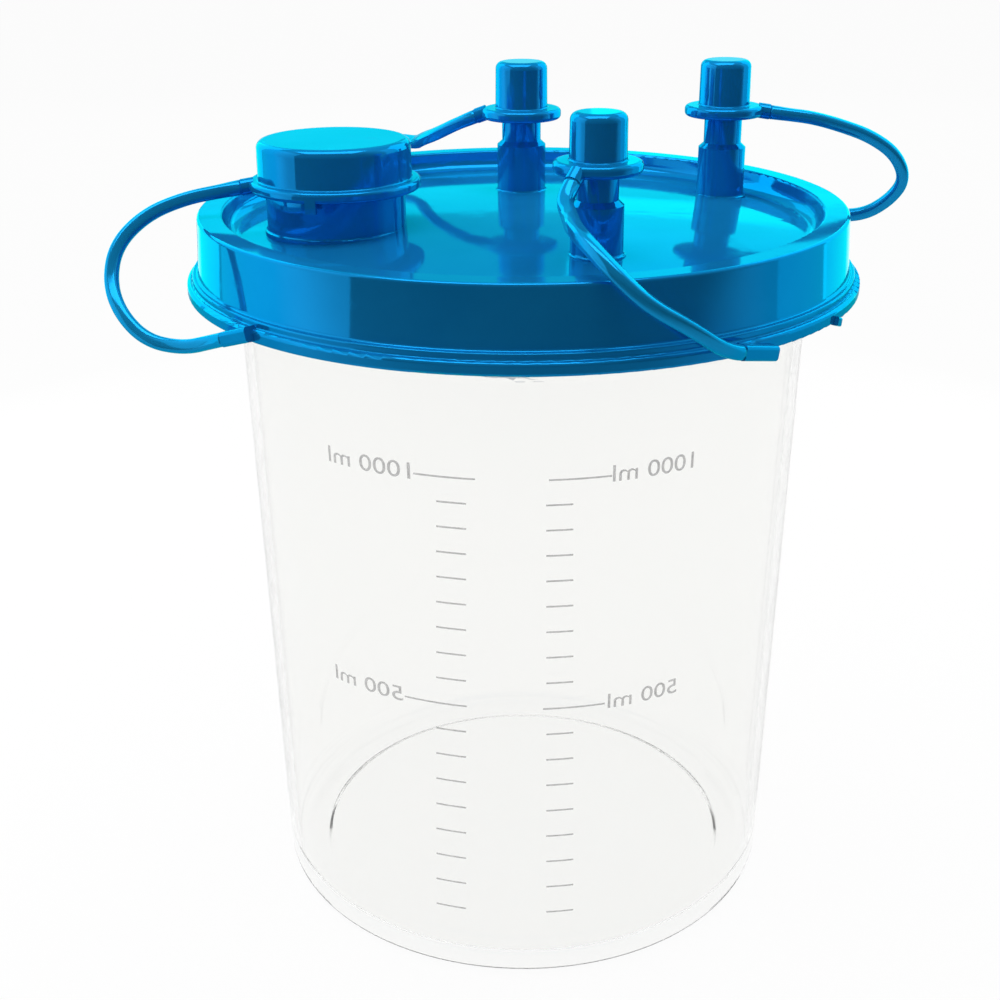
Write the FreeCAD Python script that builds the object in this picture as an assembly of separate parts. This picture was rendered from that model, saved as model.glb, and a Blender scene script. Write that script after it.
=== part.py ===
import FreeCAD
import Part

import math
import os
from dataclasses import dataclass

V = FreeCAD.Vector

# Suction canister: a clear tapered jar, a blue push-fit lid with three small tube ports and one
# large pour spout, a cap for each of them on a moulded tether, and a float valve that shuts the
# vacuum port when the jar is full. Millimetres. The origin is the centre of the jar's base,
# +Z is up and the user stands at -Y.

# Rounding of small edges
EDGE_R = 0.3
FINE_EDGE_R = 0.2

# Jar
JAR_BASE_R = 53.0
JAR_SHOULDER_R = 55.7
JAR_SHOULDER_Z = 126.5
JAR_WALL = 1.8
JAR_FLOOR = 2.2
JAR_CORNER_R = 3.4
JAR_FOOT_WIDTH = 6.0
JAR_PUSH_UP = 1.4
JAR_INNER_CORNER_R = 3.0
JAR_FOOT_EDGE_R = 1.0
JAR_PUSH_UP_R = 1.5
SHOULDER_ROUND_R = 2.5
SHOULDER_SLOPE_GAP = 0.2
COLLAR_ROUND_R = 1.8
COLLAR_INNER_ROUND_R = 1.2
COLLAR_OUT = 4.7
COLLAR_WALL = 1.5
COLLAR_RISE = 3.8
JAR_NECK_H = 11.4
RIM_BAND_OUT = 0.4
RIM_BAND_H = 2.6

# Lid rim, deck and skirt
LID_TOP_ABOVE_RIM = 6.3
RIM_W = 4.8
RIM_EDGE_R = 0.6
RECESS_DEPTH = 4.0
RECESS_DRAFT = 0.8
RECESS_FILLET = 2.6
GUTTER_W = 2.4
DECK_T = 1.65
DECK_DOME = 2.15
SKIRT_WALL = 1.5
SKIRT_CLEARANCE = 0.2
SKIRT_FLARE = 0.6
LID_HEIGHT = 14.5
LIP_H = 2.4
LIP_OUT = 2.2
STEP_H = 1.2
STEP_OUT = 1.1
SNAP_BEAD_H = 0.3
SNAP_BEAD_ABOVE_LIP = 2.0
STEP_FOOT_R = 0.5
LIP_TOP_EDGE_R = 0.7
LIP_LOW_EDGE_R = 0.5
PLUG_DEPTH = 5.5
PLUG_WALL = 1.5
PLUG_CLEARANCE = 0.2
PLUG_LEAD_IN = 0.6
PLUG_LEAD_H = 1.0

# Seal ring between the lid and the jar's rim
SEAL_GROOVE_DEPTH = 1.2
SEAL_SIDE_GAP = 0.05
SEAL_WIDTH = 1.6

# What all capped ports share
CAP_BORE_CLEARANCE = 0.05
CAP_DRAFT = 0.1
PORT_TIP_CHAMFER = 0.4
PORT_BASE_FILLET = 0.5
SHOULDER_CHAMFER = 0.9
STUB_DEPTH = 3.0
BORE_OVERSHOOT = 1.0
STUB_STEP = 0.2
STUB_TAPER = 0.4

# Float valve under the vacuum port
SEAT_R = 8.0
SEAT_RISE = 0.95
SEAT_HOLE_R = 2.4
SEAT_T = 1.5
BOSS_WALL = 1.4
BOSS_DEPTH = 6.0
CAGE_WALL = 1.3
CAGE_EDGE_R = 0.5
CAGE_TOP_GAP = 0.3
CAGE_LENGTH = 32.0
CAGE_FLOOR = 1.4
CAGE_FLOOR_HOLE_R = 5.2
CAGE_WINDOWS = 4
CAGE_WINDOW_W = 7.0
CAGE_WINDOW_FROM_FLOOR = 5.0
CAGE_WINDOW_H = 18.0
FLOAT_GUIDE_GAP = 0.6
FLOAT_LENGTH = 16.5
FLOAT_NOSE_R = 3.6
FLOAT_NOSE_H = 2.2
FLOAT_WALL = 0.9
FLOAT_NOSE_SLOPE = 0.6
FLOAT_EDGE_R = 0.6
SEAT_STOP_GAP = 0.05

# Tethers and the lugs that they grow out of
TETHER_D = 2.7
LUG_D = 3.1
LUG_ROOT = 1.0
LUG_OUT = 1.4
RUN_SHARE = 0.45


@dataclass(frozen=True)
class SmallPort:
    """One tube port of the lid and the cap on it.

    Its place is a share of the deck's radius and a bearing in degrees from +X, and its heights
    are above the deck there. The tether leaves the cap at an angle and droops by another.
    """

    name: str
    share: float
    bearing: float
    nozzle_r: float
    shoulder_h: float
    seat_h: float
    cap_h: float
    tether_angle: float
    tether_droop: float
    stub_depth: float

    @property
    def x(self):
        return DECK_R * self.share * math.cos(math.radians(self.bearing))

    @property
    def y(self):
        return DECK_R * self.share * math.sin(math.radians(self.bearing))


@dataclass(frozen=True)
class Anchor:
    """A block with rounded edges across the lid's lip that a tether runs into.

    Its middle is at an angle round the lip and a height above the lip's lower edge. It points
    along the lip, turned inwards by swing and upwards by tilt, and reaches before and after
    its middle.
    """

    name: str
    angle: float
    height: float
    tilt: float
    swing: float
    before: float
    after: float
    width: float


NOZZLE_WALL = 1.25
BODY_STEP = 1.0
SMALL_CAP_WALL = 1.3
SMALL_CAP_TOP = 1.8
SMALL_CAP_EDGE_R = 1.4
SMALL_RING_OUT = 2.8
SMALL_RING_T = 2.2
SMALL_RING_EDGE_R = 0.8

VACUUM_R = 4.0
VACUUM_BODY_H = 9.4
VACUUM_SEAT_H = 14.6
VACUUM_CAP_H = 11.4
PATIENT_R = 3.7
PATIENT_BODY_H = 8.7
PATIENT_SEAT_H = 14.2
PATIENT_CAP_H = 10.3
PATIENT_STUB_DEPTH = 9.0
TANDEM_R = 3.85
TANDEM_BODY_H = 9.9
TANDEM_SEAT_H = 16.2
TANDEM_CAP_H = 11.2

VACUUM = SmallPort("vacuum", 0.4404, 90.5, VACUUM_R, VACUUM_BODY_H, VACUUM_SEAT_H, VACUUM_CAP_H,
                   172.0, 20.0, 0.0)
PATIENT = SmallPort("patient", 0.6287, -67.7, PATIENT_R, PATIENT_BODY_H, PATIENT_SEAT_H,
                    PATIENT_CAP_H, 238.0, 38.0, PATIENT_STUB_DEPTH)
TANDEM = SmallPort("tandem", 0.8833, 30.45, TANDEM_R, TANDEM_BODY_H, TANDEM_SEAT_H, TANDEM_CAP_H,
                   -4.0, 8.0, STUB_DEPTH)
SMALL_PORTS = (VACUUM, PATIENT, TANDEM)

# Large pour spout and its cap
SPOUT_SHARE = 0.6662
SPOUT_BEARING = 194.2
SPOUT_R = 13.1
SPOUT_WALL = 1.6
SPOUT_FOOT_ABOVE_UNDERSIDE = 0.3
SPOUT_CAP_WALL = 1.3
SPOUT_CAP_TOP = 1.9
SPOUT_CAP_EDGE_R = 1.4
SPOUT_SEAT_H = 7.4
SPOUT_CAP_H = 9.2
SPOUT_RING_OUT = 1.65
SPOUT_RING_T = 2.0
SPOUT_RING_EDGE_R = 0.7
SPOUT_TETHER_ANGLE = 190.0
SPOUT_TETHER_DROOP = 8.0
PULL_TAB_ANGLE = -100.0
PULL_TAB_W = 2.0
PULL_TAB_H = 1.8
PULL_TAB_T = 0.9
PULL_TAB_ROOT = 1.0

# Blocks on the lip
ANCHOR_IN = 0.8
ANCHOR_W = 2.7
ANCHOR_EDGE_R = 0.7
NUB_W = 1.6
NUB_EDGE_R = 0.3
ANCHORS = (
    Anchor("pour", -137.5, 0.7, 18.0, 6.0, 4.0, 3.5, ANCHOR_W),
    Anchor("patient", -53.5, 0.3, -13.0, 9.0, 5.5, 3.9, ANCHOR_W),
    Anchor("tandem", 27.0, 1.7, -28.0, 55.0, 4.0, 1.0, ANCHOR_W),
    Anchor("vacuum", 133.0, 0.7, -20.0, 25.0, 4.0, 2.5, ANCHOR_W),
)
NUB = Anchor("nub", -32.0, 0.3, -20.0, 0.0, 0.9, 0.9, NUB_W)

# Tether routes between the straight leads out of the cap's lug and into the block on the lip,
# in lip radii, with heights from the lid's top
TETHER_LEAD = 4.0
VACUUM_ROUTE = (
    V(-0.2818, 0.4747, 0.1225), V(-0.3323, 0.5926, 0.0888), V(-0.3614, 0.7198, 0.0551),
    V(-0.4334, 0.8315, 0.0475), V(-0.5222, 0.8943, 0.0031), V(-0.5957, 0.8913, -0.0858),
)
PATIENT_ROUTE = (
    V(0.1194, -0.7090, 0.1072), V(0.1240, -0.8025, 0.1011), V(0.1547, -0.8959, 0.0827),
    V(0.2221, -0.9663, 0.0245), V(0.3002, -0.9923, -0.0444), V(0.4043, -0.9694, -0.1072),
)
TANDEM_ROUTE = (
    V(0.9158, 0.3568, 0.1884), V(1.0077, 0.3507, 0.1639), V(1.0995, 0.3430, 0.1317),
    V(1.1822, 0.3400, 0.0766), V(1.2221, 0.3492, -0.0031), V(1.1868, 0.3798, -0.0750),
    V(1.1118, 0.4104, -0.1317),
)
POUR_ROUTE = (
    V(-0.9602, -0.2282, 0.0582), V(-1.0613, -0.2772, 0.0230), V(-1.1348, -0.3446, -0.0459),
    V(-1.1455, -0.4119, -0.1332), V(-1.1072, -0.4809, -0.2052), V(-1.0291, -0.5329, -0.2680),
    V(-0.9204, -0.5697, -0.2787),
)

# Places that follow from the sizes above
JAR_RIM_Z = JAR_SHOULDER_Z + JAR_NECK_H
LID_TOP_Z = JAR_RIM_Z + LID_TOP_ABOVE_RIM
DECK_EDGE_Z = LID_TOP_Z - RECESS_DEPTH
UNDER_Z = DECK_EDGE_Z - DECK_T
LIP_BOTTOM_Z = LID_TOP_Z - LID_HEIGHT
LIP_TOP_Z = LIP_BOTTOM_Z + LIP_H
COLLAR_R = JAR_SHOULDER_R + COLLAR_OUT
BAND_R = COLLAR_R + RIM_BAND_OUT
SKIRT_IN_R = BAND_R + SKIRT_CLEARANCE
LID_R = SKIRT_IN_R + SKIRT_WALL
LIP_R = LID_R + SKIRT_FLARE + LIP_OUT
COLLAR_IN_R = COLLAR_R - COLLAR_WALL
PLUG_R = COLLAR_IN_R - PLUG_CLEARANCE
PLUG_IN_R = PLUG_R - PLUG_WALL
RECESS_R = LID_R - RIM_W
RECESS_FOOT_R = RECESS_R - RECESS_DRAFT
DECK_R = RECESS_FOOT_R - GUTTER_W
SEAT_TOP_Z = UNDER_Z + SEAT_RISE
SPOUT_X = DECK_R * SPOUT_SHARE * math.cos(math.radians(SPOUT_BEARING))
SPOUT_Y = DECK_R * SPOUT_SHARE * math.sin(math.radians(SPOUT_BEARING))
SPOUT_CAP_R = SPOUT_R + CAP_BORE_CLEARANCE + SPOUT_CAP_WALL
SPOUT_RING_R = SPOUT_CAP_R + SPOUT_RING_OUT


@dataclass(frozen=True)
class Corner:
    """A corner of an outline in the r, z plane, with a rounding, or the end of an arc."""

    r: float
    z: float
    rounding: float = 0.0
    via: tuple = ()


def outline(corners):
    """Close the corners into a wire of lines and arcs in the XZ plane."""
    count = len(corners)
    starts = []
    ends = []
    arcs = []
    for i, corner in enumerate(corners):
        here = V(corner.r, 0, corner.z)
        if corner.rounding <= 0:
            starts.append(here)
            ends.append(here)
            arcs.append(None)
            continue
        back = corners[i - 1]
        ahead = corners[(i + 1) % count]
        to_back = (V(back.r, 0, back.z) - here).normalize()
        to_ahead = (V(ahead.r, 0, ahead.z) - here).normalize()
        half = to_back.getAngle(to_ahead) / 2
        cut = corner.rounding / math.tan(half)
        bisector = (to_back + to_ahead).normalize()
        middle = here + bisector * (corner.rounding / math.sin(half) - corner.rounding)
        start = here + to_back * cut
        end = here + to_ahead * cut
        starts.append(start)
        ends.append(end)
        arcs.append(Part.Arc(start, middle, end).toShape())
    edges = []
    for i, corner in enumerate(corners):
        before = ends[i - 1]
        after = starts[i]
        if corner.via:
            through = V(corner.via[0], 0, corner.via[1])
            edges.append(Part.Arc(before, through, after).toShape())
        elif (after - before).Length > 1e-6:
            edges.append(Part.LineSegment(before, after).toShape())
        if arcs[i]:
            edges.append(arcs[i])
    return Part.Wire(edges)


def turned(corners, x=0.0, y=0.0):
    """Turn an outline about the vertical axis through x, y."""
    solid = Part.Face(outline(corners)).revolve(V(0, 0, 0), V(0, 0, 1), 360)
    solid.translate(V(x, y, 0))
    return solid


def rod(radius, z_low, z_high, x=0.0, y=0.0):
    """An upright cylinder between two heights."""
    return Part.makeCylinder(radius, z_high - z_low, V(x, y, z_low))


def deck_top(x, y):
    """Height of the domed deck's top face at a place."""
    share = (x * x + y * y) / (DECK_R * DECK_R)
    return DECK_EDGE_Z + DECK_DOME * (1 - min(share, 1.0))


def unit(angle):
    """Level unit vector at an angle in degrees from +X."""
    return V(math.cos(math.radians(angle)), math.sin(math.radians(angle)), 0)


def nozzle_tip(port):
    """Height of a port's tip, which its cap's inner face rests on."""
    return deck_top(port.x, port.y) + port.seat_h + port.cap_h - SMALL_CAP_TOP


def small_cap_r(port):
    """Outer radius of a small port's cap."""
    return port.nozzle_r + CAP_BORE_CLEARANCE + SMALL_CAP_WALL


def make_jar():
    """Blow-moulded clear jar: push-up base, tapered wall, shoulder and collar for the lid."""
    collar_z = JAR_SHOULDER_Z + COLLAR_RISE
    foot_r = JAR_BASE_R - JAR_CORNER_R - JAR_FOOT_WIDTH / 2
    push_r = foot_r - JAR_FOOT_WIDTH / 2
    floor_r = JAR_BASE_R - JAR_WALL
    return turned([
        Corner(0, JAR_PUSH_UP),
        Corner(push_r, JAR_PUSH_UP, JAR_PUSH_UP_R),
        Corner(push_r + JAR_PUSH_UP, 0, JAR_FOOT_EDGE_R),
        Corner(JAR_BASE_R, 0, JAR_CORNER_R),
        Corner(JAR_SHOULDER_R, JAR_SHOULDER_Z, SHOULDER_ROUND_R),
        Corner(COLLAR_R, collar_z, COLLAR_ROUND_R),
        Corner(COLLAR_R, JAR_RIM_Z - RIM_BAND_H, 0.0),
        Corner(BAND_R, JAR_RIM_Z - RIM_BAND_H + RIM_BAND_OUT, 0.0),
        Corner(BAND_R, JAR_RIM_Z, EDGE_R),
        Corner(COLLAR_IN_R, JAR_RIM_Z, EDGE_R),
        Corner(COLLAR_IN_R, collar_z + SHOULDER_SLOPE_GAP, COLLAR_INNER_ROUND_R),
        Corner(JAR_SHOULDER_R - JAR_WALL, JAR_SHOULDER_Z + SHOULDER_SLOPE_GAP, SHOULDER_ROUND_R),
        Corner(floor_r, JAR_FLOOR + JAR_PUSH_UP, JAR_INNER_CORNER_R),
        Corner(0, JAR_FLOOR + JAR_PUSH_UP),
    ])


def lid_shell():
    """Rim, recess, domed deck, skirt with its two-step lip, and the plug wall, as one turned form."""
    step_z = LIP_TOP_Z + STEP_H
    skirt_low_r = LID_R + SKIRT_FLARE
    skirt_in_low = SKIRT_IN_R + SKIRT_FLARE
    bead_z = LIP_TOP_Z + SNAP_BEAD_ABOVE_LIP
    groove_in = COLLAR_IN_R + (COLLAR_WALL + RIM_BAND_OUT - SEAL_WIDTH) / 2
    groove_out = groove_in + SEAL_WIDTH + 2 * SEAL_SIDE_GAP
    groove_z = UNDER_Z + SEAL_GROOVE_DEPTH
    dome_mid = DECK_DOME * 0.75
    return turned([
        Corner(0, DECK_EDGE_Z + DECK_DOME),
        Corner(DECK_R, DECK_EDGE_Z, via=(DECK_R / 2, DECK_EDGE_Z + dome_mid)),
        Corner(RECESS_FOOT_R, DECK_EDGE_Z, RECESS_FILLET),
        Corner(RECESS_R, LID_TOP_Z, RIM_EDGE_R),
        Corner(LID_R, LID_TOP_Z, RIM_EDGE_R),
        Corner(skirt_low_r, step_z, STEP_FOOT_R),
        Corner(skirt_low_r + STEP_OUT, step_z, EDGE_R),
        Corner(skirt_low_r + STEP_OUT, LIP_TOP_Z, EDGE_R),
        Corner(LIP_R, LIP_TOP_Z, LIP_TOP_EDGE_R),
        Corner(LIP_R, LIP_BOTTOM_Z, LIP_LOW_EDGE_R),
        Corner(skirt_in_low, LIP_BOTTOM_Z, EDGE_R),
        Corner(skirt_in_low, bead_z - SNAP_BEAD_H * 2, 0.0),
        Corner(skirt_in_low - SNAP_BEAD_H, bead_z, FINE_EDGE_R),
        Corner(skirt_in_low - SNAP_BEAD_H, bead_z + SNAP_BEAD_H * 2, 0.0),
        Corner(SKIRT_IN_R, UNDER_Z, 0.0),
        Corner(groove_out, UNDER_Z, 0.0),
        Corner(groove_out, groove_z, 0.0),
        Corner(groove_in - SEAL_SIDE_GAP, groove_z, 0.0),
        Corner(groove_in - SEAL_SIDE_GAP, UNDER_Z, 0.0),
        Corner(PLUG_R, UNDER_Z, 0.0),
        Corner(PLUG_R, UNDER_Z - PLUG_DEPTH + PLUG_LEAD_H, 0.0),
        Corner(PLUG_R - PLUG_LEAD_IN, UNDER_Z - PLUG_DEPTH, FINE_EDGE_R),
        Corner(PLUG_IN_R, UNDER_Z - PLUG_DEPTH, FINE_EDGE_R),
        Corner(PLUG_IN_R, UNDER_Z, 0.0),
        Corner(0, UNDER_Z + DECK_DOME, via=(PLUG_IN_R / 2, UNDER_Z + dome_mid)),
    ])


def port_body(port):
    """A small port: base fillet, wide body, chamfered shoulder and nozzle, with a stub below."""
    deck = deck_top(port.x, port.y)
    body_r = port.nozzle_r + BODY_STEP
    tip = nozzle_tip(port)
    low = UNDER_Z - port.stub_depth
    return turned([
        Corner(0, low),
        Corner(body_r - STUB_STEP - STUB_TAPER, low, EDGE_R),
        Corner(body_r - STUB_STEP, DECK_EDGE_Z - DECK_T / 2, 0.0),
        Corner(body_r + PORT_BASE_FILLET, DECK_EDGE_Z - DECK_T / 2, 0.0),
        Corner(body_r + PORT_BASE_FILLET, deck, 0.0),
        Corner(body_r, deck + PORT_BASE_FILLET,
               via=(body_r + PORT_BASE_FILLET * (1 - math.sqrt(0.5)),
                    deck + PORT_BASE_FILLET * (1 - math.sqrt(0.5)))),
        Corner(body_r, deck + port.shoulder_h, 0.0),
        Corner(port.nozzle_r, deck + port.shoulder_h + SHOULDER_CHAMFER, 0.0),
        Corner(port.nozzle_r, tip - PORT_TIP_CHAMFER, 0.0),
        Corner(port.nozzle_r - PORT_TIP_CHAMFER, tip, 0.0),
        Corner(0, tip),
    ], port.x, port.y)


def spout_body():
    """The pour spout: a short wide neck with a base fillet, solid until it is bored."""
    deck = deck_top(SPOUT_X, SPOUT_Y)
    tip = deck + SPOUT_SEAT_H + SPOUT_CAP_H - SPOUT_CAP_TOP
    return turned([
        Corner(0, UNDER_Z + SPOUT_FOOT_ABOVE_UNDERSIDE),
        Corner(SPOUT_R + PORT_BASE_FILLET, UNDER_Z + SPOUT_FOOT_ABOVE_UNDERSIDE, 0.0),
        Corner(SPOUT_R + PORT_BASE_FILLET, deck, 0.0),
        Corner(SPOUT_R, deck + PORT_BASE_FILLET,
               via=(SPOUT_R + PORT_BASE_FILLET * (1 - math.sqrt(0.5)),
                    deck + PORT_BASE_FILLET * (1 - math.sqrt(0.5)))),
        Corner(SPOUT_R, tip - PORT_TIP_CHAMFER, 0.0),
        Corner(SPOUT_R - PORT_TIP_CHAMFER, tip, 0.0),
        Corner(0, tip),
    ], SPOUT_X, SPOUT_Y)


def anchor_way(anchor):
    """Unit vector along a block, in the direction in which its tether runs."""
    swing = math.radians(anchor.swing)
    level = unit(anchor.angle + 90) * math.cos(swing) - unit(anchor.angle) * math.sin(swing)
    tilt = math.radians(anchor.tilt)
    return level * math.cos(tilt) + V(0, 0, math.sin(tilt))


def anchor_middle(anchor):
    """The middle of a block, just outside the lip's face."""
    middle = unit(anchor.angle) * (LIP_R - ANCHOR_IN + anchor.width / 2)
    return middle + V(0, 0, LIP_BOTTOM_Z + anchor.height)


def lip_block(anchor, edge_r):
    """A bar across the lip with rounded edges and flat cut ends."""
    way = anchor_way(anchor)
    side = V(0, 0, 1).cross(way).normalize()
    start = anchor_middle(anchor) - way * anchor.before
    width = anchor.width
    block = Part.makeBox(anchor.before + anchor.after, width, width, V(0, -width / 2, -width / 2))
    long_edges = [edge for edge in block.Edges if edge.BoundBox.XLength > edge.Length / 2]
    block = block.makeFillet(edge_r, long_edges)
    block.Placement = FreeCAD.Placement(start, FreeCAD.Rotation(way, side, way.cross(side), "XZY"))
    return block


def lip_entry(anchor):
    """Where a tether meets its block, and the direction in which it runs into it."""
    way = anchor_way(anchor)
    return anchor_middle(anchor) - way * anchor.before, way


def valve_boss():
    """The boss under the vacuum port that the float cage is pressed on, solid until it is bored."""
    x, y = VACUUM.x, VACUUM.y
    return rod(SEAT_R + BOSS_WALL, UNDER_Z - BOSS_DEPTH, deck_top(x, y) - DECK_T / 2, x, y)


def make_lid():
    """The lid as one moulding: shell, ports, spout, valve boss and tether blocks."""
    lid = lid_shell()
    pieces = [port_body(port) for port in SMALL_PORTS]
    pieces += [spout_body(), valve_boss()]
    pieces += [lip_block(anchor, ANCHOR_EDGE_R) for anchor in ANCHORS]
    pieces.append(lip_block(NUB, NUB_EDGE_R))
    lid = lid.fuse(pieces)
    bores = []
    for port in SMALL_PORTS:
        low = UNDER_Z - port.stub_depth - BORE_OVERSHOOT
        high = nozzle_tip(port) + BORE_OVERSHOOT
        bores.append(rod(port.nozzle_r - NOZZLE_WALL, low, high, port.x, port.y))
    bores.append(rod(SEAT_R, UNDER_Z - BOSS_DEPTH, SEAT_TOP_Z, VACUUM.x, VACUUM.y))
    spout_top = deck_top(SPOUT_X, SPOUT_Y) + SPOUT_SEAT_H + SPOUT_CAP_H
    bores.append(rod(SPOUT_R - SPOUT_WALL, UNDER_Z - BORE_OVERSHOOT, spout_top, SPOUT_X, SPOUT_Y))
    lid = lid.cut(bores)
    return lid.removeSplitter()


def make_seal():
    """The soft ring in the lid's groove, which the jar's rim presses on."""
    inner = COLLAR_IN_R + (COLLAR_WALL + RIM_BAND_OUT - SEAL_WIDTH) / 2
    outer = inner + SEAL_WIDTH
    top = UNDER_Z + SEAL_GROOVE_DEPTH
    return turned([
        Corner(inner, JAR_RIM_Z, EDGE_R),
        Corner(outer, JAR_RIM_Z, EDGE_R),
        Corner(outer, top, FINE_EDGE_R),
        Corner(inner, top, FINE_EDGE_R),
    ])


def lug_line(x, y, ring_r, z, angle, droop):
    """Where a lug starts inside its cap's ring, and the direction in which it points."""
    out = unit(angle)
    tilt = math.radians(droop)
    return V(x, y, z) + out * (ring_r - LUG_ROOT), out * math.cos(tilt) - V(0, 0, math.sin(tilt))


def cap_lug(x, y, ring_r, z, angle, droop):
    """The root of a tether on a cap's ring: a short round lug with a flat end."""
    start, way = lug_line(x, y, ring_r, z, angle, droop)
    return Part.makeCylinder(LUG_D / 2, LUG_ROOT + LUG_OUT, start, way)


def cap_exit(x, y, ring_r, z, angle, droop):
    """Where a tether leaves its cap's lug, and its direction there."""
    start, way = lug_line(x, y, ring_r, z, angle, droop)
    return start + way * (LUG_ROOT + LUG_OUT), way


def make_small_cap(port):
    """A push-on cap: closed top, thin wall, ring at the foot and the tether's lug."""
    seat = deck_top(port.x, port.y) + port.seat_h
    top = seat + port.cap_h
    bore_r = port.nozzle_r + CAP_BORE_CLEARANCE
    cap_r = small_cap_r(port)
    ring_r = cap_r + SMALL_RING_OUT
    body = turned([
        Corner(0, top),
        Corner(cap_r - CAP_DRAFT, top, SMALL_CAP_EDGE_R),
        Corner(cap_r, seat + SMALL_RING_T, EDGE_R),
        Corner(ring_r, seat + SMALL_RING_T, SMALL_RING_EDGE_R),
        Corner(ring_r, seat, SMALL_RING_EDGE_R),
        Corner(bore_r, seat, 0.0),
        Corner(bore_r, top - SMALL_CAP_TOP, 0.0),
        Corner(0, top - SMALL_CAP_TOP),
    ], port.x, port.y)
    lug = cap_lug(port.x, port.y, ring_r, seat + SMALL_RING_T / 2, port.tether_angle,
                  port.tether_droop)
    return body.fuse(lug).removeSplitter()


def make_spout_cap():
    """The large push-on cap of the pour spout, with its ring, pull tab and the tether's lug."""
    seat = deck_top(SPOUT_X, SPOUT_Y) + SPOUT_SEAT_H
    top = seat + SPOUT_CAP_H
    bore_r = SPOUT_R + CAP_BORE_CLEARANCE
    body = turned([
        Corner(0, top),
        Corner(SPOUT_CAP_R - CAP_DRAFT, top, SPOUT_CAP_EDGE_R),
        Corner(SPOUT_CAP_R, seat + SPOUT_RING_T, EDGE_R),
        Corner(SPOUT_RING_R, seat + SPOUT_RING_T, SPOUT_RING_EDGE_R),
        Corner(SPOUT_RING_R, seat, SPOUT_RING_EDGE_R),
        Corner(bore_r, seat, 0.0),
        Corner(bore_r, top - SPOUT_CAP_TOP, 0.0),
        Corner(0, top - SPOUT_CAP_TOP),
    ], SPOUT_X, SPOUT_Y)
    lug = cap_lug(SPOUT_X, SPOUT_Y, SPOUT_RING_R, seat + SPOUT_RING_T / 2, SPOUT_TETHER_ANGLE,
                  SPOUT_TETHER_DROOP)
    tab = Part.makeBox(PULL_TAB_T, PULL_TAB_W, PULL_TAB_H + PULL_TAB_ROOT)
    tab.translate(V(SPOUT_RING_R - PULL_TAB_T, -PULL_TAB_W / 2, -PULL_TAB_H))
    tab.rotate(V(0, 0, 0), V(0, 0, 1), PULL_TAB_ANGLE)
    tab.translate(V(SPOUT_X, SPOUT_Y, seat))
    return body.fuse([lug, tab]).removeSplitter()


def make_valve_seat():
    """The soft washer under the vacuum port that the float closes."""
    washer = rod(SEAT_R, SEAT_TOP_Z - SEAT_T, SEAT_TOP_Z, VACUUM.x, VACUUM.y)
    return washer.cut(rod(SEAT_HOLE_R, SEAT_TOP_Z - SEAT_T, SEAT_TOP_Z, VACUUM.x, VACUUM.y))


def make_float_cage():
    """The slotted tube that guides the float: a socket on the boss, a bore and an open foot."""
    x, y = VACUUM.x, VACUUM.y
    socket_r = SEAT_R + BOSS_WALL
    ledge_z = UNDER_Z - BOSS_DEPTH
    low = UNDER_Z - CAGE_LENGTH
    cage = turned([
        Corner(socket_r, UNDER_Z - CAGE_TOP_GAP, 0.0),
        Corner(socket_r + CAGE_WALL, UNDER_Z - CAGE_TOP_GAP, EDGE_R),
        Corner(socket_r + CAGE_WALL, ledge_z - CAGE_WALL, CAGE_EDGE_R),
        Corner(SEAT_R + CAGE_WALL, ledge_z - CAGE_WALL - BOSS_WALL, CAGE_EDGE_R),
        Corner(SEAT_R + CAGE_WALL, low, CAGE_EDGE_R),
        Corner(CAGE_FLOOR_HOLE_R, low, 0.0),
        Corner(CAGE_FLOOR_HOLE_R, low + CAGE_FLOOR, 0.0),
        Corner(SEAT_R, low + CAGE_FLOOR, 0.0),
        Corner(SEAT_R, ledge_z, 0.0),
        Corner(socket_r, ledge_z, 0.0),
    ], x, y)
    window_low = low + CAGE_FLOOR + CAGE_WINDOW_FROM_FLOOR
    windows = []
    for i in range(CAGE_WINDOWS):
        window = Part.makeBox(socket_r + CAGE_WALL * 2, CAGE_WINDOW_W, CAGE_WINDOW_H)
        window.translate(V(0, -CAGE_WINDOW_W / 2, window_low))
        window.rotate(V(0, 0, 0), V(0, 0, 1), 45 + 360 * i / CAGE_WINDOWS)
        window.translate(V(x, y, 0))
        windows.append(window)
    return cage.cut(windows)


def float_travel():
    """How far the float rises from the cage's floor until it closes the seat."""
    floor_z = UNDER_Z - CAGE_LENGTH + CAGE_FLOOR
    return SEAT_TOP_Z - SEAT_T - floor_z - FLOAT_LENGTH - SEAT_STOP_GAP


def make_float():
    """The hollow float: an upside-down cup with a nose that closes the seat."""
    x, y = VACUUM.x, VACUUM.y
    low = UNDER_Z - CAGE_LENGTH + CAGE_FLOOR
    top = low + FLOAT_LENGTH
    outer_r = SEAT_R - FLOAT_GUIDE_GAP
    deck_z = top - FLOAT_NOSE_H
    return turned([
        Corner(0, top),
        Corner(FLOAT_NOSE_R, top, FLOAT_EDGE_R),
        Corner(FLOAT_NOSE_R + FLOAT_NOSE_SLOPE, deck_z, EDGE_R),
        Corner(outer_r, deck_z, FLOAT_EDGE_R),
        Corner(outer_r, low, 0.0),
        Corner(outer_r - FLOAT_WALL, low, 0.0),
        Corner(outer_r - FLOAT_WALL, deck_z - FLOAT_WALL, EDGE_R),
        Corner(0, deck_z - FLOAT_WALL),
    ], x, y)


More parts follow.
